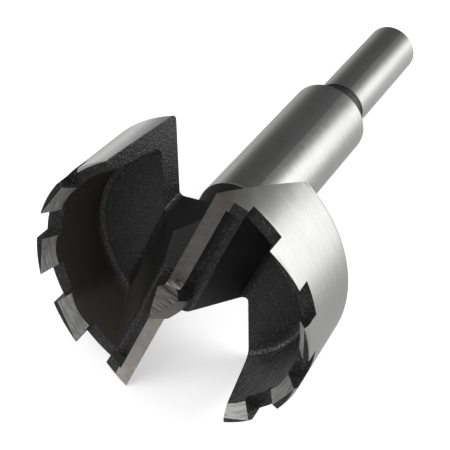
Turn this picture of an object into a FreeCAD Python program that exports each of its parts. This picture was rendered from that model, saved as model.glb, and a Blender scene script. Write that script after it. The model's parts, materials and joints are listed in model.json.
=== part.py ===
import FreeCAD, Part
import math
import os

# Saw-tooth forstner bit in one piece of steel, millimetres and degrees.
# It is built on its own axis: z = 0 at the two lips, +z toward the shank, the lips along x.
# Angles are counted round +z from the x axis. The bit is the same after half a turn, so
# every feature is given for one half and repeated. At the end the bit is laid down as it rests.

# Head
HEAD_R = 25.0               # at the lips
HEAD_BACK = 16.6            # back face of the head
SIDE_TAPER = 2.9            # the side runs in toward the shank
BACK_EDGE_R = 1.3
TOOTH_AHEAD = 0.8           # teeth stand this far ahead of the lips
TOOTH_LEAN = 0.45           # and their outer side leans in by this much there
RIM_W = 2.2                 # thickness of the rim at the lips
CUP_DRAFT = 11.0
CUP_FLOOR = 12.6
CUP_ROUND = 2.0

# Hub, neck and shank
COLLAR_R = 6.3              # where it leaves the head
COLLAR_END = 23.1
HUB_R = 7.5
HUB_END = 60.0
HUB_EDGE = 0.5
NECK_R = 4.8
NECK_END = 64.6
SHANK_R = 5.0
SHANK_END = 91.0
SHANK_EDGE = 0.5

# Cross bar that carries the two lips
LIP_LEAD = 1.25             # each lip lies this far ahead of the axis
RAKE = 28.8                 # slant of the face below each lip
RELIEF = 13.0               # ground strip behind each lip
STRIP_INNER = 2.4           # width of the strip by the centre
STRIP_OUTER = 2.05
STEP_SLANT = 12.0           # step down behind the strip
SHELF_Z = 2.5
SHELF_W = 2.0
SHELF_ROUND = 0.8
BAR_ROUND = 2.0

# Gullet ahead of each lip: an inner wall, the wing's end face and the face below the lip
GULLET_WALL_TURN = -28.0
GULLET_WALL_REACH = 3.6     # inner wall to the axis, at the lips
GULLET_WALL_LEAN = 13.4
END_FACE_TURN = 65.0
END_FACE_REACH = 9.65       # end face of the wing to the axis, at the lips
END_FACE_LEAN = 8.8
GULLET_ROUND = 0.9

# Saw teeth on the rim
TOOTH_TIPS = (23.4, 56.0, 86.8, 118.0)     # leading end of each tooth, from the lip's own side
TOOTH_L = 7.4
TOOTH_RELIEF = 6.5
NOTCH_W = 6.0
NOTCH_FLOOR = 2.85
NOTCH_SKEW = 20.0
BEVEL_LAND = 0.15           # flat left outside the bevel
BEVEL_SLOPE = 38.0
BEVEL_DEPTH = 2.6           # most that is ground off square to the bevel
TOOTH_OVERRUN = 2.0         # the cuts on a tooth run this far into the gaps

# Centre point: a pin ground to four faces
POINT_AHEAD = 5.7
POINT_R = 3.1
POINT_SLOPE_X = 28.8
POINT_SLOPE_Y = 24.2
POINT_TIP = 0.08
POINT_ROUND = 1.2           # hollow corner between the point and a strip

# Rest: the gullet at this angle is turned down
REST_TURN = 158.0
REST_STEPS = 12
REST_MESH = 0.03

FAR = 80.0                  # reach of a cutting block, past everything it should cut
AXIS = FreeCAD.Vector(0, 0, 1)
ORIGIN = FreeCAD.Vector(0, 0, 0)


def tan(degrees):
    return math.tan(math.radians(degrees))


def polar(radius, degrees, z):
    angle = math.radians(degrees)
    return FreeCAD.Vector(radius * math.cos(angle), radius * math.sin(angle), z)


def lowest(edge):
    return edge.BoundBox.ZMin


def side_radius(z):
    return HEAD_R - z * tan(SIDE_TAPER)


def cup_radius(z):
    return HEAD_R - RIM_W - z * tan(CUP_DRAFT)


def both_halves(shape):
    other = shape.copy()
    other.rotate(ORIGIN, AXIS, 180)
    return [shape, other]


def outline(points):
    """Closed wire; a list entry of two points is an arc through the first to the second."""
    edges = []
    last = points[0]
    for step in points[1:] + [points[0]]:
        if isinstance(step, tuple):
            edges.append(Part.Arc(last, step[0], step[1]).toShape())
            last = step[1]
        else:
            edges.append(Part.makeLine(last, step))
            last = step
    return Part.Wire(edges)


def block_beyond(turn, lean, reach):
    """Block on the far side of a face that looks along turn, leans back and lies at reach."""
    block = Part.makeBox(FAR, 2 * FAR, 2 * FAR, FreeCAD.Vector(0, -FAR, -FAR))
    block.rotate(ORIGIN, FreeCAD.Vector(0, 1, 0), lean)
    block.rotate(ORIGIN, AXIS, turn)
    block.translate(polar(reach, turn, 0))
    return block


def turned_body():
    def at(radius, z):
        return FreeCAD.Vector(radius, 0, z)

    front = -TOOTH_AHEAD
    back_edge = HEAD_BACK - BACK_EDGE_R
    corner_r = side_radius(back_edge)
    cos45 = math.sqrt(0.5)
    points = [
        at(0, front),
        at(side_radius(front) - TOOTH_LEAN, front),
        at(HEAD_R, 0),
        at(corner_r, back_edge),
        (at(corner_r - BACK_EDGE_R * (1 - cos45), back_edge + BACK_EDGE_R * cos45),
         at(corner_r - BACK_EDGE_R, HEAD_BACK)),
        at(COLLAR_R, HEAD_BACK),
        at(HUB_R, COLLAR_END),
        at(HUB_R, HUB_END - HUB_EDGE),
        at(HUB_R - HUB_EDGE, HUB_END),
        at(NECK_R, HUB_END),
        at(NECK_R, NECK_END),
        at(SHANK_R, NECK_END + SHANK_R - NECK_R),
        at(SHANK_R, SHANK_END - SHANK_EDGE),
        at(SHANK_R - SHANK_EDGE, SHANK_END),
        at(0, SHANK_END),
    ]
    return Part.Face(outline(points)).revolve(ORIGIN, AXIS, 360)


def cup():
    """Hollow inside the rim, with its rounded floor corner."""
    front = -2 * TOOTH_AHEAD
    hollow = Part.makeCone(cup_radius(front), cup_radius(CUP_FLOOR), CUP_FLOOR - front,
                           FreeCAD.Vector(0, 0, front))
    floor_edge = max(hollow.Edges, key=lowest)
    return hollow.makeFillet(CUP_ROUND, [floor_edge])


def rounded_corner(before, corner, after, radius):
    """Start of a rounded corner, and the arc round it."""
    back = (before - corner).normalize()
    on = (after - corner).normalize()
    half_angle = back.getAngle(on) / 2
    run = radius / math.tan(half_angle)
    bisector = (back + on).normalize()
    middle = corner + bisector * (radius / math.sin(half_angle) - radius)
    return [corner + back * run, (middle, corner + on * run)]


def bar_side(side):
    """Section of the bar on one side (+1 or -1), from the strip to the foot in the cup floor."""
    def at(y, z):
        return FreeCAD.Vector(0, y * side, z)

    strip_end = STRIP_INNER - LIP_LEAD
    strip_z = STRIP_INNER * tan(RELIEF)
    step_y = strip_end + (SHELF_Z - strip_z) * tan(STEP_SLANT)
    foot_y = step_y + SHELF_W + (CUP_FLOOR - SHELF_Z) * tan(RAKE)
    step = at(step_y, SHELF_Z)
    shoulder = at(step_y + SHELF_W, SHELF_Z)
    foot = at(foot_y, CUP_FLOOR)
    end = at(foot_y + 2 * BAR_ROUND, CUP_FLOOR)
    return ([at(strip_end, strip_z), step]
            + rounded_corner(step, shoulder, foot, SHELF_ROUND)
            + rounded_corner(shoulder, foot, end, BAR_ROUND)
            + [end, at(end.y * side, HEAD_BACK)])


def walked_back(steps):
    """The same outline steps in the opposite order."""
    points = [step[-1] if isinstance(step, tuple) else step for step in steps]
    back = [points[-1]]
    for index in range(len(steps) - 2, -1, -1):
        step = steps[index + 1]
        back.append((step[0], points[index]) if isinstance(step, tuple) else points[index])
    return back


def strip_trim():
    """Wedge off the back of the strip, which narrows outward."""
    turn = 90 + math.degrees(math.atan((STRIP_INNER - STRIP_OUTER) / HEAD_R))
    back_at_lip_height = STRIP_INNER * (1 - tan(RELIEF) * tan(STEP_SLANT)) - LIP_LEAD
    behind = block_beyond(turn, STEP_SLANT, back_at_lip_height)
    above_shelf = Part.makeBox(2 * HEAD_R, FAR, FAR, FreeCAD.Vector(0, 0, SHELF_Z - FAR))
    return behind.common(above_shelf)


def point_corner():
    """Hollow corner where a face of the centre point runs out into the strip."""
    def at(x, z):
        return FreeCAD.Vector(x, -LIP_LEAD, z)

    corner_x = POINT_TIP + POINT_AHEAD * tan(POINT_SLOPE_X)
    corner = rounded_corner(at(POINT_TIP, -POINT_AHEAD), at(corner_x, 0), at(HEAD_R, 0), POINT_ROUND)
    section = outline(corner + [at(corner[-1][-1].x, SHELF_Z), at(0, SHELF_Z)])
    along = FreeCAD.Vector(tan(RELIEF) * tan(POINT_SLOPE_X), 1, tan(RELIEF))
    return Part.Face(section).extrude(along * STRIP_INNER)


def half_bar():
    """Bar from the axis out past the rim."""
    lip = FreeCAD.Vector(0, -LIP_LEAD, 0)
    section = outline([lip] + bar_side(1) + walked_back(bar_side(-1))[:-1])
    bar = Part.Face(section).extrude(FreeCAD.Vector(HEAD_R + RIM_W, 0, 0))
    return bar.fuse(point_corner()).cut(strip_trim())


def gullet():
    """Space between the end face of one wing and the face below the next lip."""
    wall = block_beyond(GULLET_WALL_TURN, GULLET_WALL_LEAN, GULLET_WALL_REACH)
    end_face = block_beyond(END_FACE_TURN, END_FACE_LEAN, -END_FACE_REACH)
    rake_face = block_beyond(-90, -RAKE, LIP_LEAD)
    depth = Part.makeBox(2 * FAR, 2 * FAR, FAR, FreeCAD.Vector(-FAR, -FAR, COLLAR_END - FAR))
    space = wall.common(end_face).common(rake_face).common(depth)
    inner = min(space.Edges, key=corner_distance)
    return space.makeFillet(GULLET_ROUND, [inner])


def looking(turn, lean):
    """Direction that a face looks in, as in block_beyond."""
    ahead = polar(math.cos(math.radians(lean)), turn, 0)
    return ahead - AXIS * math.sin(math.radians(lean))


def corner_distance(edge):
    """How far an edge's middle is from both the gullet's inner wall and the end face."""
    middle = edge.valueAt((edge.FirstParameter + edge.LastParameter) / 2)
    from_wall = middle - polar(GULLET_WALL_REACH, GULLET_WALL_TURN, 0)
    from_end = middle - polar(-END_FACE_REACH, END_FACE_TURN, 0)
    return (abs(from_wall.dot(looking(GULLET_WALL_TURN, GULLET_WALL_LEAN)))
            + abs(from_end.dot(looking(END_FACE_TURN, END_FACE_LEAN))))


def notch(tooth_angle):
    """Gap just ahead of a tooth, cut square through the rim."""
    depth = 2 * RIM_W
    space = Part.makeBox(2 * depth, NOTCH_W, FAR,
                         FreeCAD.Vector(-depth, -NOTCH_W, NOTCH_FLOOR - FAR))
    space.rotate(ORIGIN, AXIS, -NOTCH_SKEW)
    space.translate(FreeCAD.Vector(HEAD_R, 0, 0))
    space.rotate(ORIGIN, AXIS, tooth_angle)
    return space


def tooth_middle(tooth_angle):
    return tooth_angle + math.degrees(TOOTH_L / HEAD_R) / 2


def tooth_land(tooth_angle):
    """Clears the metal in front of a tooth, so that its land falls away behind the tip."""
    reach = TOOTH_L / 2 + TOOTH_OVERRUN
    depth = 2 * RIM_W
    space = Part.makeBox(2 * depth, 2 * reach, depth, FreeCAD.Vector(-depth, -reach, -depth))
    space.rotate(FreeCAD.Vector(0, -TOOTH_L / 2, 0), FreeCAD.Vector(1, 0, 0), TOOTH_RELIEF)
    space.translate(FreeCAD.Vector(HEAD_R, 0, -TOOTH_AHEAD))
    space.rotate(ORIGIN, AXIS, tooth_middle(tooth_angle))
    return space


def tooth_bevel(tooth_angle):
    """Slanted inner face that leaves the tooth sharp at its outer side."""
    reach = TOOTH_L / 2 + TOOTH_OVERRUN
    height = 4 * RIM_W
    space = Part.makeBox(BEVEL_DEPTH, 2 * reach, 2 * height,
                         FreeCAD.Vector(-BEVEL_DEPTH, -reach, -height))
    space.rotate(ORIGIN, FreeCAD.Vector(0, 1, 0), -BEVEL_SLOPE)
    space.translate(FreeCAD.Vector(HEAD_R - TOOTH_LEAN - BEVEL_LAND, 0, -TOOTH_AHEAD))
    space.rotate(ORIGIN, AXIS, tooth_middle(tooth_angle))
    above_notches = Part.makeBox(2 * FAR, 2 * FAR, FAR,
                                 FreeCAD.Vector(-FAR, -FAR, NOTCH_FLOOR - FAR))
    return space.common(above_notches)


def lip_land():
    """Carries the lip's relief on over the rim, as far as the first notch."""
    behind = HEAD_R * math.sin(math.radians(TOOTH_TIPS[0])) - NOTCH_W / 2 + LIP_LEAD
    ahead = 2 * TOOTH_AHEAD
    space = Part.makeBox(HEAD_R, ahead + behind, HEAD_R, FreeCAD.Vector(0, -ahead, -HEAD_R))
    space.rotate(ORIGIN, FreeCAD.Vector(1, 0, 0), RELIEF)
    space = space.fuse(Part.makeBox(HEAD_R, ahead, HEAD_R, FreeCAD.Vector(0, -ahead, -HEAD_R)))
    space.translate(FreeCAD.Vector(cup_radius(0) - CUP_ROUND, -LIP_LEAD, 0))
    return space


def centre_point():
    """Pin on the axis, its front ground to a four-sided point."""
    pin = Part.makeCylinder(POINT_R, POINT_AHEAD + SHELF_Z, FreeCAD.Vector(0, 0, -POINT_AHEAD))
    for turn, slope in ((0, POINT_SLOPE_X), (90, POINT_SLOPE_Y)):
        for side in both_halves(block_beyond(turn, slope, POINT_AHEAD * tan(slope) + POINT_TIP)):
            pin = pin.cut(side)
    return pin


def forstner_bit():
    bars = both_halves(half_bar())
    hollow = cup().cut(bars[0]).cut(bars[1])
    bit = turned_body().cut(hollow)
    cuts = [gullet(), lip_land()]
    for angle in TOOTH_TIPS:
        cuts += [notch(angle), tooth_land(angle), tooth_bevel(angle)]
    for cut in cuts:
        for tool in both_halves(cut):
            bit = bit.cut(tool)
    return bit.fuse(centre_point()).removeSplitter()


def resting_up(points):
    """Up direction with the bit lying on its shank end, one lip and the end of the next wing."""
    across = polar(1, REST_TURN + 90, 0)
    head = [p for p in points if p.z < HEAD_BACK]
    groups = [[p for p in points if p.z > NECK_END],
              [p for p in head if p.dot(across) < 0],
              [p for p in head if p.dot(across) > 0]]
    up = polar(1, REST_TURN - 180, 0)
    for _ in range(REST_STEPS):
        shank_end, wing_end, lip = [min(group, key=up.dot) for group in groups]
        up = (lip - shank_end).cross(wing_end - shank_end).normalize()
    return up


def lay_down(bit):
    """Turns the bit to its rest, shank toward +x, and stands its box's lower middle on the origin."""
    points = bit.tessellate(REST_MESH)[0]
    up = resting_up(points)
    along = (AXIS - up * AXIS.dot(up)).normalize()
    across = up.cross(along)
    rows = [along, across, up]
    lows = [min(p.dot(row) for p in points) for row in rows]
    highs = [max(p.dot(row) for p in points) for row in rows]
    moved = [-(lows[0] + highs[0]) / 2, -(lows[1] + highs[1]) / 2, -lows[2]]
    values = []
    for row, shift in zip(rows, moved):
        values += [row.x, row.y, row.z, shift]
    place = FreeCAD.Placement(FreeCAD.Matrix(*values, 0, 0, 0, 1))
    bit.Placement = place
    return place


bit = forstner_bit()
place = lay_down(bit)
os.makedirs("parts", exist_ok=True)
bit.exportStep("parts/forstner_bit.step")

print("solids", len(bit.Solids), "valid", bit.isValid(), "volume", round(bit.Volume, 1))
print("shank end", place.multVec(polar(0, 0, SHANK_END)), "axis", place.Rotation.multVec(AXIS))
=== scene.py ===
import bpy
import json
import math
from mathutils import Matrix, Vector

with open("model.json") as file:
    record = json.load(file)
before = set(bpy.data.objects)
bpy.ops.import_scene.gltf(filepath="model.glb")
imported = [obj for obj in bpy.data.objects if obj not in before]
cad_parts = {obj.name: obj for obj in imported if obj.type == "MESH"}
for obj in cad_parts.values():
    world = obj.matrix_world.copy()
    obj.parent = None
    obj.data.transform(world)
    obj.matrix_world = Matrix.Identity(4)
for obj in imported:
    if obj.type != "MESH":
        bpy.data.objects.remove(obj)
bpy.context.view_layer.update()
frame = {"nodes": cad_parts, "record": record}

MM = 0.001

# Sizes of the bit on its own axes, in mm and degrees. z runs along the tool from the lips to the
# shank and x along lip 1. Lip and wing 2 are half a turn from lip and wing 1.
SHANK_MIDDLE = 77.65            # middle of the shank mount
LIP_TURN = 14.058               # lip 1 against straight up, round the tool's axis
LIP_LEAD = 1.25                 # a lip's edge in front of the centre line
LIP_RELIEF = 13.0               # fall of the ground strip behind a lip
SHELF_Z = 2.5
CUP_FLOOR_FROM = 12.3           # just under the floor
HEAD_BACK = 16.6
COLLAR_END = 23.1
HUB_END = 60.0
NECK_END = 64.6
BEVEL_SLOPE = 38.0
GULLET_WALL_TURN = -28.0

# Edges of the finishes on those axes, in mm
SIDE_R = 23.0
RIM_R = 21.0
BEVEL_TO_Z = 3.5
STRIP_FROM = 2.2                # along the lip
STRIP_BACK = (1.4, 1.55)        # behind the centre line: along the strip and at its outer end
STRIP_OUTER_END = (22.2, 22.9)
STRIP_ROOT = 4.8                # the strip's inner end, along the lip
POINT_R = 4.6
POINT_TO_Z = 0.5
POINT_FOOT_Z = -1.04
CUP_WALL_R = 18.5
CUP_WALL_TO_Z = 12.4
CUP_CORNER_R = (19.6, 20.15)
CUP_CORNER_Z = (10.9, 12.9)
BAR_TO_R = 21.5
BAR_FROM_Z = 3.0
SHELF_LINE = 2.35               # behind the centre line
GULLET_TO_R = 19.0
# Edges of a patch of painted light on the gullet wall
LIT_PATCH_CORNER = (-6.06, 9.2)     # behind the centre line, z
LIT_PATCH_SLOPES = (1.456, -2.718)

# Grinding marks: cycles per mm, or per radian of turn, then the noise's detail and roughness
MARKS = {
    "rings": ({"turn": 5.0, "z": 4.0, "r": 0.2}, 3.0, 0.6),
    "across": ({"x": 4.6, "y": 0.4, "z": 0.4}, 3.0, 0.6),
    "tooth": ({"turn": 7.0, "z": 0.5, "r": 4.2}, 3.0, 0.6),
    "point": ({"x": 0.5, "y": 0.3, "z": 5.5}, 2.0, 0.5),
}
SATIN_SCALE = 3.2
CLOUD_SCALE = 0.12
HEAT_SCALE = 0.35
GRAIN_SCALE = 2.6
COARSE_SCALE = 0.45
RIDGE_SCALE = 3.5
WAVE_SCALE = 0.8
STREAK_LEAN = 21.0              # mm of z to a radian of turn

BLACK = (0.0, 0.0, 0.0)
WHITE = (1.0, 1.0, 1.0)
STEEL_COLOUR = (0.98, 0.975, 0.965)
STEEL_LEVEL = 0.5
HEATED_COLOUR = (0.84, 0.72, 0.60)
OXIDE_COLOUR = (0.026, 0.0255, 0.025)
OXIDE_LEVEL = 0.6
PLAIN_SPECULAR = 0.5
DULL_SPECULAR = 0.24
OXIDE_EDGE = 0.3 * MM           # rounding of the edges, in the shading only
GROUND_EDGE = 0.06 * MM
SMOOTH_UNDER = 25.0             # degrees between faces that shade as one

# Stage, in metres. The glow brings the paper up to white for the camera alone.
FLOOR_SIZE = 6.0
PAPER_COLOURS = ((0.80, 0.80, 0.80), (0.74, 0.74, 0.74))
PAPER_FIBRES = 900.0
FLOOR_GLOW = 0.45
WORLD_LEVEL = 0.55
REFLECTED_FLOOR = 0.2           # brightness of the table in reflections, where nothing lights it
POOL_PLACE = (0.035, 0.092, 0.0)
STUDIO_DARK = 0.09
STUDIO_FRONT = 0.12
BIT_MIDDLE = (-0.02, 0.0, 0.02)
LAMPS = {                       # place, size, power in watts
    "key": ((0.35, -0.55, 0.55), 0.5, 5.0),
    "fill": ((-0.5, 0.35, 0.6), 0.6, 3.0),
}
CAMERA_PLACE = Vector((-0.144903, -0.060809, 0.197971))
CAMERA_AHEAD = Vector((0.546601, 0.274496, -0.791126))
CAMERA_UP = Vector((0.672448, 0.419137, 0.610032))
SENSOR_MM = 36.0
LENS_MM = 106.33
CLIP = (0.01, 20.0)


def tan(degrees):
    return math.tan(math.radians(degrees))


def grey(level):
    return (level, level, level)


def new_graph(owner):
    """An empty node tree on a material or a world."""
    owner.use_nodes = True
    owner.node_tree.nodes.clear()
    return Graph(owner.node_tree)


class Graph:
    """Short calls for a node tree; numbers are written into sockets, sockets are linked."""

    def __init__(self, tree):
        self.tree = tree

    def node(self, kind, **settings):
        made = self.tree.nodes.new(kind)
        for name, value in settings.items():
            setattr(made, name, value)
        return made

    def feed(self, socket, value):
        if isinstance(value, bpy.types.NodeSocket):
            self.tree.links.new(value, socket)
        elif isinstance(value, (tuple, Vector)) and socket.type == "RGBA":
            socket.default_value = (*value, 1.0)
        else:
            socket.default_value = value

    def math(self, operation, *values, clamp=False):
        made = self.node("ShaderNodeMath", operation=operation, use_clamp=clamp)
        for socket, value in zip(made.inputs, values):
            self.feed(socket, value)
        return made.outputs[0]

    def chain(self, operation, values):
        total = values[0]
        for value in values[1:]:
            total = self.math(operation, total, value)
        return total

    def add(self, *values):
        return self.chain("ADD", values)

    def mul(self, *values):
        return self.chain("MULTIPLY", values)

    def either(self, *values):
        return self.chain("MAXIMUM", values)

    def sub(self, a, b):
        return self.math("SUBTRACT", a, b)

    def size(self, value):
        return self.math("ABSOLUTE", value)

    def invert(self, value):
        return self.math("SUBTRACT", 1.0, value, clamp=True)

    def vmath(self, operation, *values, output=0):
        made = self.node("ShaderNodeVectorMath", operation=operation)
        for socket, value in zip(made.inputs, values):
            self.feed(socket, value)
        return made.outputs[output]

    def dot(self, a, b):
        return self.vmath("DOT_PRODUCT", a, b, output="Value")

    def vector(self, x, y, z):
        made = self.node("ShaderNodeCombineXYZ")
        for socket, value in zip(made.inputs, (x, y, z)):
            self.feed(socket, value)
        return made.outputs[0]

    def split(self, vector):
        made = self.node("ShaderNodeSeparateXYZ")
        self.feed(made.inputs[0], vector)
        return made.outputs

    def ramp(self, value, low, high, to_low=0.0, to_high=1.0):
        """Smooth step of value from low to high; low may be the larger."""
        made = self.node("ShaderNodeMapRange", interpolation_type="SMOOTHSTEP")
        for socket, number in zip(made.inputs, (value, low, high, to_low, to_high)):
            self.feed(socket, number)
        return made.outputs[0]

    def above(self, value, edge, soft=0.05):
        return self.ramp(value, edge - soft, edge + soft)

    def below(self, value, edge, soft=0.05):
        return self.ramp(value, edge + soft, edge - soft)

    def near(self, value, middle, reach, soft=0.05):
        return self.below(self.size(self.sub(value, middle)), reach, soft)

    def noise(self, vector, scale, detail=2.0, roughness=0.5):
        made = self.node("ShaderNodeTexNoise")
        for name, value in (("Vector", vector), ("Scale", scale), ("Detail", detail),
                            ("Roughness", roughness)):
            self.feed(made.inputs[name], value)
        return made.outputs[0]

    def contrast(self, noise, to_low=0.0, to_high=1.0):
        """Stretches a noise, which keeps near 0.5, over its useful range."""
        return self.ramp(noise, 0.3, 0.7, to_low, to_high)

    def mix(self, sockets, share, a, b, **settings):
        made = self.node("ShaderNodeMix", **settings)
        for number, value in zip(sockets, (share, a, b)):
            self.feed(made.inputs[number], value)
        return made

    def blend(self, share, a, b):
        """a where share is 0, b where it is 1; a and b are numbers or grey sockets."""
        return self.mix((0, 2, 3), share, a, b, data_type="FLOAT").outputs[0]

    def tint(self, share, a, b, mode="MIX"):
        """The same for colours."""
        return self.mix((0, 6, 7), share, a, b, data_type="RGBA", blend_type=mode).outputs[2]


def bit_coordinates(g):
    """Place of a surface point and the way it faces, on the bit's own axes, in mm.

    x, y, z are the place, nx, ny, nz the normal and "at" the place as a vector. r and turn are the
    place round the tool's axis, and nr is 1 where the surface faces straight outward. reach runs
    along the nearer lip and behind runs from the centre line toward that lip's wing, so both are
    the same on the two halves.
    """
    mount = frame["record"]["mounts"][0]
    bit_z = Vector(mount["axis"]).normalized()
    level = (Vector((0, 0, 1)) - bit_z * bit_z.z).normalized()
    turn = math.radians(LIP_TURN)
    bit_x = level * math.cos(turn) + bit_z.cross(level) * math.sin(turn)
    bit_y = bit_z.cross(bit_x)
    bit_origin = Vector(mount["pos_m"]) - bit_z * SHANK_MIDDLE * MM

    place = g.node("ShaderNodeTexCoord")
    out = g.vmath("SUBTRACT", place.outputs["Object"], bit_origin)
    c = {}
    for name, axis in (("x", bit_x), ("y", bit_y), ("z", bit_z)):
        c[name] = g.dot(out, axis / MM)
        c["n" + name] = g.dot(place.outputs["Normal"], axis)
    c["at"] = g.vector(c["x"], c["y"], c["z"])
    c["r"] = g.math("SQRT", g.add(g.mul(c["x"], c["x"]), g.mul(c["y"], c["y"])))
    c["turn"] = g.math("ARCTAN2", c["y"], c["x"])
    c["nr"] = g.math("DIVIDE", g.add(g.mul(c["x"], c["nx"]), g.mul(c["y"], c["ny"])),
                     g.math("MAXIMUM", c["r"], 0.01))
    c["reach"] = g.size(c["x"])
    c["behind"] = g.mul(c["y"], g.math("SIGN", c["x"]))
    return c


def facing(g, c, first, second, degrees):
    """Cosine of the normal to a direction turned from the first axis toward the second."""
    angle = math.radians(degrees)
    return g.add(g.mul(c[first], math.cos(angle)), g.mul(c[second], math.sin(angle)))


def ground_zones(g, c):
    """Where the steel is ground bright. Each zone is 1 on its faces and 0 off them.

    Tests of nx, ny, nz and nr are cosines, the others are in mm.
    """
    zone = {}
    zone["side"] = g.mul(g.above(c["nr"], 0.55), g.above(c["r"], SIDE_R, 0.3),
                         g.below(c["z"], HEAD_BACK + 0.5))
    neck = g.mul(g.above(c["z"], HUB_END + 0.05, 0.04), g.below(c["z"], NECK_END + 0.25))
    hub_end_face = g.mul(g.above(c["nz"], 0.5), g.below(c["z"], HUB_END + 1))
    tail = g.mul(g.above(c["z"], COLLAR_END, 0.12), g.invert(neck), g.invert(hub_end_face))
    relief = g.mul(g.add(c["behind"], LIP_LEAD), tan(LIP_RELIEF))
    past_strip = g.sub(c["behind"], g.ramp(c["reach"], *STRIP_OUTER_END, *STRIP_BACK))
    zone["strip"] = g.mul(g.near(c["z"], relief, 0.16), g.below(c["nz"], -0.9),
                          g.below(past_strip, 0.0, 0.04), g.above(c["reach"], STRIP_FROM))
    to_bevel = facing(g, c, "nr", "nz", BEVEL_SLOPE)
    zone["bevel"] = g.mul(g.below(to_bevel, -0.955, 0.015), g.above(c["r"], RIM_R),
                          g.below(c["z"], BEVEL_TO_Z))
    zone["point"] = g.mul(g.below(c["r"], POINT_R), g.below(c["z"], POINT_TO_Z, 0.1),
                          g.below(c["nz"], -0.05))
    zone["turned"] = g.either(zone["side"], tail)
    zone["flat"] = g.either(zone["strip"], zone["bevel"], zone["point"])
    zone["bright"] = g.either(zone["turned"], zone["flat"])
    # The point's facet that faces across the lip; ground_steel paints it darker, a painted shade.
    zone["cross_facet"] = g.mul(zone["point"], g.above(g.size(c["ny"]), 0.7, 0.1))
    return zone


def grinding_marks(g, c, zone):
    """Rings on turned faces, lines across the strips, along the bevels and round the point."""
    lines = {}
    for name, (cycles, detail, roughness) in MARKS.items():
        way = g.vector(*(g.mul(c[axis], number) for axis, number in cycles.items()))
        lines[name] = g.noise(way, 1.0, detail, roughness)
    satin = g.noise(c["at"], SATIN_SCALE, 2.0, 0.6)
    flat = g.blend(zone["bevel"], lines["across"], lines["tooth"])
    flat = g.blend(zone["point"], flat, lines["point"])
    return g.blend(zone["flat"], g.blend(0.4, lines["rings"], satin), flat)


def ground_steel(g, c, zone, marks):
    """Colour of the ground faces, brown where grinding and cutting have heated them, with painted
    light and shade on several of them.
    """
    strip, point, bevel = zone["strip"], zone["point"], zone["bevel"]
    depth = g.add(g.blend(zone["turned"], 0.08, 0.16), g.mul(strip, 0.22), g.mul(bevel, 0.6),
                  g.mul(point, 0.75), g.mul(zone["cross_facet"], -0.6))
    value = g.add(1.0, g.mul(g.sub(g.contrast(marks), 0.5), depth))
    value = g.mul(value, g.contrast(g.noise(c["at"], CLOUD_SCALE, 3.0), 0.96, 1.03))

    # Painted light and shade on the ground strips, which are ground alike: lip 2's strip lighter,
    # lip 1's darker, the strips' roots lighter and their fillets darker.
    shaded_lip_1 = g.mul(strip, g.above(c["x"], 0.0, 1.0))
    lit_lip_2 = g.mul(strip, g.below(c["x"], 0.0, 1.0))
    lit_root = g.mul(strip, g.below(c["reach"], STRIP_ROOT, 0.5))
    shaded_fillet = g.mul(strip, g.above(g.size(c["nx"]), 0.3, 0.1))
    # Painted shadow: a dark band on the point at its foot, between strip 1 and the point.
    foot_shadow = g.mul(point, g.near(c["z"], POINT_FOOT_Z, 0.17), g.above(c["x"], 2.0, 0.2))
    # Painted shade: the side next to lip 1's end is darker, in place of a darker reflection there.
    lip_end_shade = g.mul(zone["side"], g.above(c["x"], 15.0, 1.0), g.ramp(c["turn"], 0.36, 0.16))
    # Levels of the ground steel. All but the point's own level are painted light and shade.
    levels = (
        (point, 0.8),
        # painted light: the bevels lighter toward wing 2's outer teeth, a little darker elsewhere
        (bevel, g.ramp(c["x"], -8.0, -19.0, 0.93, 1.43)),
        (lit_lip_2, g.ramp(c["reach"], 3.0, 16.0, 1.75, 1.3)),
        (shaded_lip_1, 0.84),
        # painted shade on the point's facet across the lip
        (zone["cross_facet"], 0.5),
        (foot_shadow, 0.45),
        (shaded_fillet, 0.7),
        (lit_root, 1.3),
        (lip_end_shade, 0.76),
    )
    for place, level in levels:
        value = g.mul(value, g.blend(place, 1.0, level))
    colour = g.tint(g.mul(value, STEEL_LEVEL), BLACK, STEEL_COLOUR)

    corner = g.mul(g.above(c["x"], 23.0, 1.0), g.below(c["behind"], 1.5, 2.5),
                   g.below(c["z"], 4.0, 4.0))
    heated = g.either(g.mul(strip, 0.45), g.mul(point, 0.4), g.mul(corner, 0.9))
    patches = g.ramp(g.noise(c["at"], HEAT_SCALE, 3.0, 0.6), 0.35, 0.6)
    return g.tint(g.mul(heated, patches), colour, HEATED_COLOUR, "MULTIPLY")


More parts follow.
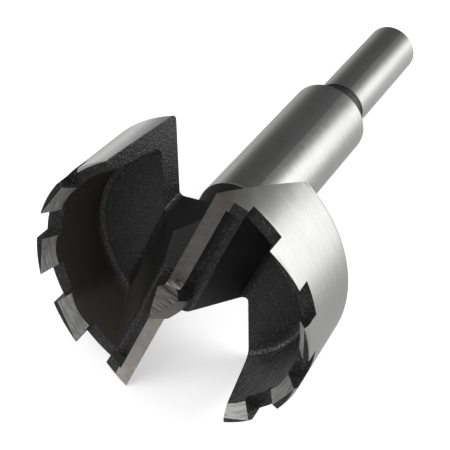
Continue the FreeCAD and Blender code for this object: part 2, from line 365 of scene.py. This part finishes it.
def oxide_zones(g, c):
    """Faces under the black oxide that differ from its plain forged skin, and a patch of the
    gullet wall painted lighter as painted light.
    """
    zone = {}
    zone["wing_2"] = g.below(c["y"], 0.0, 1.0)
    zone["cup_wall"] = g.mul(g.below(c["nr"], -0.75, 0.1), g.above(c["r"], CUP_WALL_R, 0.5),
                             g.below(c["z"], CUP_WALL_TO_Z, 0.3))
    zone["low_wall"] = g.mul(zone["cup_wall"], zone["wing_2"], g.below(c["x"], -17.2, 1.3))
    zone["cup_floor"] = g.mul(g.below(c["nz"], -0.97, 0.01), g.above(c["z"], CUP_FLOOR_FROM, 0.1))
    zone["bar_slope"] = g.mul(g.above(g.size(c["ny"]), 0.83, 0.03), g.above(c["nz"], -0.53, 0.02),
                              g.below(c["nz"], -0.4), g.below(c["r"], BAR_TO_R, 0.5),
                              g.above(c["z"], BAR_FROM_Z, 0.3))
    zone["bar_end"] = g.mul(zone["bar_slope"], zone["wing_2"], g.ramp(c["x"], -3.0, -15.0))
    to_wall = g.size(facing(g, c, "nx", "ny", GULLET_WALL_TURN))
    zone["gullet"] = g.mul(g.above(to_wall, 0.55), g.below(c["r"], GULLET_TO_R, 1.0),
                           g.below(c["nz"], -0.1))
    # A patch of painted light on the gullet wall: lighter there, in place of the light on a
    # rounding of the wall that the shape lacks.
    past_corner = g.sub(c["behind"], LIT_PATCH_CORNER[0])
    over_first, over_second = (g.sub(c["z"], g.mul(past_corner, slope)) for slope in LIT_PATCH_SLOPES)
    zone["facet"] = g.mul(zone["gullet"], g.below(over_first, LIT_PATCH_CORNER[1], 0.12),
                          g.above(over_second, LIT_PATCH_CORNER[1], 0.3))
    wave = g.mul(g.sub(g.noise(g.vector(c["x"], 0.0, 0.0), WAVE_SCALE, 3.0, 0.6), 0.5), 0.9)
    zone["shelf_line"] = g.mul(g.near(g.add(c["behind"], wave), SHELF_LINE, 0.12, 0.1),
                               g.near(c["z"], SHELF_Z, 0.2), g.below(c["nz"], -0.9),
                               g.above(c["reach"], 3.0, 1.0), g.below(c["reach"], 21.0, 1.0))
    zone["smooth"] = g.either(g.mul(zone["cup_wall"], zone["wing_2"]), zone["gullet"],
                              zone["bar_slope"])
    corner = g.mul(g.above(c["r"], CUP_CORNER_R[0], 0.2), g.below(c["r"], CUP_CORNER_R[1], 0.2),
                   g.above(c["z"], CUP_CORNER_Z[0], 0.3), g.below(c["z"], CUP_CORNER_Z[1], 0.1),
                   g.below(c["nz"], -0.2, 0.1))
    worn_through = g.ramp(g.noise(c["at"], RIDGE_SCALE, 2.0, 0.6), 0.38, 0.6)
    zone["ridge"] = g.mul(corner, worn_through,
                          g.blend(zone["wing_2"], g.ramp(c["x"], 0.0, -8.0, 0.35, 1.0), 0.35))
    return zone


def forged_skin(g, c):
    """Noises of the forged surface: fine grain, coarse unevenness, streaks on a cup's wall and
    flecks for painted glints.
    """
    along = g.mul(c["turn"], STREAK_LEAN)
    drawn = g.vector(g.mul(g.sub(c["z"], along), 0.3), g.mul(g.add(c["z"], along), 0.9),
                     g.mul(c["r"], 0.3))
    return {
        "grain": g.noise(c["at"], GRAIN_SCALE, 2.0, 0.55),
        "coarse": g.noise(c["at"], COARSE_SCALE, 3.0, 0.55),
        "streaks": g.noise(drawn, 1.0, 3.0, 0.55),
        # Painted glints: light flecks in the colour, in place of sparkle on the rough skin.
        "glint_flecks": g.above(g.noise(c["at"], GRAIN_SCALE, 1.0, 0.4), 0.66),
    }


def black_oxide(g, c, zone, skin):
    """Colour of the black faces: a plain coat, then the places that are darker or worn, a patch of
    painted light on the gullet wall and flecks of painted glints.
    """
    wing_2, cup_wall, cup_floor = zone["wing_2"], zone["cup_wall"], zone["cup_floor"]
    wing_1 = g.invert(wing_2)
    slope_share = g.blend(wing_2, g.ramp(c["reach"], 12.0, 2.0, 0.25, 0.9), 0.4)
    layers = (                  # share and colour
        (g.mul(cup_floor, g.blend(wing_2, 0.8, 0.0)), grey(0.008)),
        (g.mul(cup_floor, g.blend(wing_2, 0.0, 0.5)), (0.042, 0.041, 0.040)),
        (g.mul(cup_wall, wing_2, 0.7), (0.025, 0.021, 0.017)),
        (g.mul(zone["low_wall"], 0.8), (0.059, 0.052, 0.043)),
        (g.either(g.mul(zone["gullet"], 0.9), g.mul(zone["bar_slope"], slope_share)), grey(0.006)),
        (g.mul(zone["shelf_line"], 0.9), grey(0.005)),
        (g.mul(zone["bar_end"], 0.62), (0.056, 0.053, 0.048)),
        # painted light: the lighter patch on the gullet wall
        (g.mul(zone["facet"], g.ramp(skin["grain"], 0.35, 0.65, 0.3, 0.9)), grey(0.024)),
        (g.mul(cup_wall, wing_1, g.contrast(skin["streaks"], 0.2, 0.9)), grey(0.05)),
        # painted glints on the forged skin
        (g.mul(skin["glint_flecks"], g.invert(zone["smooth"]), g.invert(zone["shelf_line"]), 0.3),
         grey(0.12)),
        (g.mul(zone["ridge"], 0.85), grey(0.24)),
    )
    value = g.mul(g.ramp(skin["grain"], 0.3, 0.75, 0.5, 1.5), g.contrast(skin["coarse"], 0.8, 1.2))
    colour = g.tint(g.mul(value, OXIDE_LEVEL), BLACK, OXIDE_COLOUR)
    for share, layer in layers:
        colour = g.tint(share, colour, layer)
    return colour


def height(g, ground, oxide, marks, skin):
    """Relief of the surface in mm: grinding marks on bright faces, the forged skin on black."""
    rough = g.add(g.mul(skin["grain"], 0.19), g.mul(skin["coarse"], 0.07),
                  g.mul(oxide["ridge"], 0.12), g.mul(skin["streaks"], oxide["cup_wall"], 0.5))
    cast = g.blend(oxide["smooth"], rough, g.mul(skin["grain"], 0.012))
    return g.blend(ground["bright"], cast, g.mul(marks, g.blend(ground["flat"], 0.010, 0.003)))


def steel():
    material = bpy.data.materials.new("bit_steel")
    g = new_graph(material)
    c = bit_coordinates(g)
    ground = ground_zones(g, c)
    oxide = oxide_zones(g, c)
    marks = grinding_marks(g, c, ground)
    skin = forged_skin(g, c)
    bright, gullet = ground["bright"], oxide["gullet"]

    shader = g.node("ShaderNodeBsdfPrincipled")
    g.feed(shader.inputs["Base Color"],
           g.tint(bright, black_oxide(g, c, oxide, skin), ground_steel(g, c, ground, marks)))
    g.feed(shader.inputs["Metallic"], bright)
    oxide_rough = g.blend(oxide["smooth"], g.contrast(skin["grain"], 0.42, 0.30),
                          g.blend(gullet, 0.42, 0.65))
    g.feed(shader.inputs["Roughness"], g.blend(bright, oxide_rough, g.contrast(marks, 0.28, 0.35)))
    dull = g.either(g.mul(gullet, g.invert(oxide["facet"])), g.mul(oxide["bar_slope"], 0.5))
    g.feed(shader.inputs["Specular IOR Level"], g.blend(dull, PLAIN_SPECULAR, DULL_SPECULAR))

    edges = g.node("ShaderNodeBevel", samples=4)
    g.feed(edges.inputs["Radius"], g.blend(bright, OXIDE_EDGE, GROUND_EDGE))
    bump = g.node("ShaderNodeBump")
    bump.inputs["Strength"].default_value = 1.0
    bump.inputs["Distance"].default_value = MM
    g.feed(bump.inputs["Height"], height(g, ground, oxide, marks, skin))
    g.feed(bump.inputs["Normal"], edges.outputs[0])
    g.feed(shader.inputs["Normal"], bump.outputs[0])
    out = g.node("ShaderNodeOutputMaterial")
    g.feed(out.inputs["Surface"], shader.outputs[0])
    return material


def emission(g, strength):
    made = g.node("ShaderNodeEmission")
    made.inputs["Color"].default_value = (*WHITE, 1.0)
    g.feed(made.inputs["Strength"], strength)
    return made.outputs[0]


def rays(g):
    """Is the ray a reflection; does it come from the camera, also through something clear."""
    path = g.node("ShaderNodeLightPath").outputs
    return path["Is Glossy Ray"], g.either(path["Is Camera Ray"], path["Is Transmission Ray"])


def reflected_floor(g, place):
    """Brightness of the table in reflections: lit from behind on the right, dim in front."""
    x, y, _ = g.split(place)
    right = g.ramp(y, 0.01, -0.02)
    behind = g.ramp(x, -0.08, -0.03, 0.0, 0.36)
    away = g.ramp(g.add(x, g.mul(y, -0.5)), 0.02, 0.165, 0.0, 1.3)
    far_left = g.ramp(x, 0.05, 0.13, 0.0, -0.3)
    from_pool = g.vmath("DISTANCE", place, g.vector(*POOL_PLACE), output="Value")
    pool = g.ramp(from_pool, 0.05, 0.01, 0.0, 0.75)
    return g.add(REFLECTED_FLOOR, behind, g.mul(right, away), g.mul(g.invert(right), far_left),
                 pool)


def stage_floor():
    bpy.ops.mesh.primitive_plane_add(size=FLOOR_SIZE, location=(0, 0, 0))
    floor = bpy.context.object
    floor.name = "floor"
    material = bpy.data.materials.new("floor_paper")
    g = new_graph(material)
    reflection, seen = rays(g)
    place = g.node("ShaderNodeTexCoord").outputs["Object"]
    paper = g.node("ShaderNodeBsdfDiffuse")
    fibre = g.noise(place, PAPER_FIBRES, 2.0)
    g.feed(paper.inputs["Color"], g.tint(g.mul(fibre, 0.06), *PAPER_COLOURS))
    both = g.node("ShaderNodeAddShader")
    g.feed(both.inputs[0], paper.outputs[0])
    g.feed(both.inputs[1], emission(g, g.mul(seen, FLOOR_GLOW)))
    choice = g.node("ShaderNodeMixShader")
    g.feed(choice.inputs[0], reflection)
    g.feed(choice.inputs[1], both.outputs[0])
    g.feed(choice.inputs[2], emission(g, reflected_floor(g, place)))
    out = g.node("ShaderNodeOutputMaterial")
    g.feed(out.inputs["Surface"], choice.outputs[0])
    floor.data.materials.append(material)


def surroundings():
    """White for the camera; for reflections a studio with a dark side and a white side."""
    world = bpy.data.worlds.new("studio")
    bpy.context.scene.world = world
    g = new_graph(world)
    reflection, seen = rays(g)
    x, y, _ = g.split(g.node("ShaderNodeTexCoord").outputs["Generated"])
    behind = g.ramp(x, -0.4, 0.2)
    window = g.ramp(y, -0.37, -0.57, 0.0, 1.85)
    card = g.ramp(y, 0.75, 0.95, 0.0, 0.6)
    front = g.mul(g.invert(behind), STUDIO_FRONT)
    studio = g.add(STUDIO_DARK, g.mul(behind, window), card, front)
    level = g.blend(seen, g.blend(reflection, WORLD_LEVEL, studio), 1.0)
    back = g.node("ShaderNodeBackground")
    back.inputs["Color"].default_value = (*WHITE, 1.0)
    g.feed(back.inputs["Strength"], level)
    out = g.node("ShaderNodeOutputWorld")
    g.feed(out.inputs["Surface"], back.outputs[0])


def lamp(name, place, size, power):
    """A square lamp that aims at the bit."""
    data = bpy.data.lights.new(name, "AREA")
    data.shape = "SQUARE"
    data.size = size
    data.energy = power
    made = bpy.data.objects.new(name, data)
    bpy.context.scene.collection.objects.link(made)
    made.location = place
    aim = Vector(BIT_MIDDLE) - Vector(place)
    made.rotation_euler = aim.to_track_quat("-Z", "Y").to_euler()


def camera():
    """At the photograph's place and angle."""
    data = bpy.data.cameras.new("camera")
    data.sensor_width = SENSOR_MM
    data.lens = LENS_MM
    data.clip_start, data.clip_end = CLIP
    made = bpy.data.objects.new("camera", data)
    bpy.context.scene.collection.objects.link(made)
    axes = Matrix((CAMERA_AHEAD.cross(CAMERA_UP), CAMERA_UP, -CAMERA_AHEAD)).transposed()
    made.matrix_world = Matrix.Translation(CAMERA_PLACE) @ axes.to_4x4()
    bpy.context.scene.camera = made


bit = frame["nodes"]["forstner_bit"]
bit.data.materials.clear()
bit.data.materials.append(steel())
bit.data.shade_smooth()
bit.data.set_sharp_from_angle(angle=math.radians(SMOOTH_UNDER))

stage_floor()
surroundings()
for lamp_name, (lamp_place, lamp_size, lamp_power) in LAMPS.items():
    lamp(lamp_name, lamp_place, lamp_size, lamp_power)
camera()
bpy.context.scene.view_settings.view_transform = "Standard"
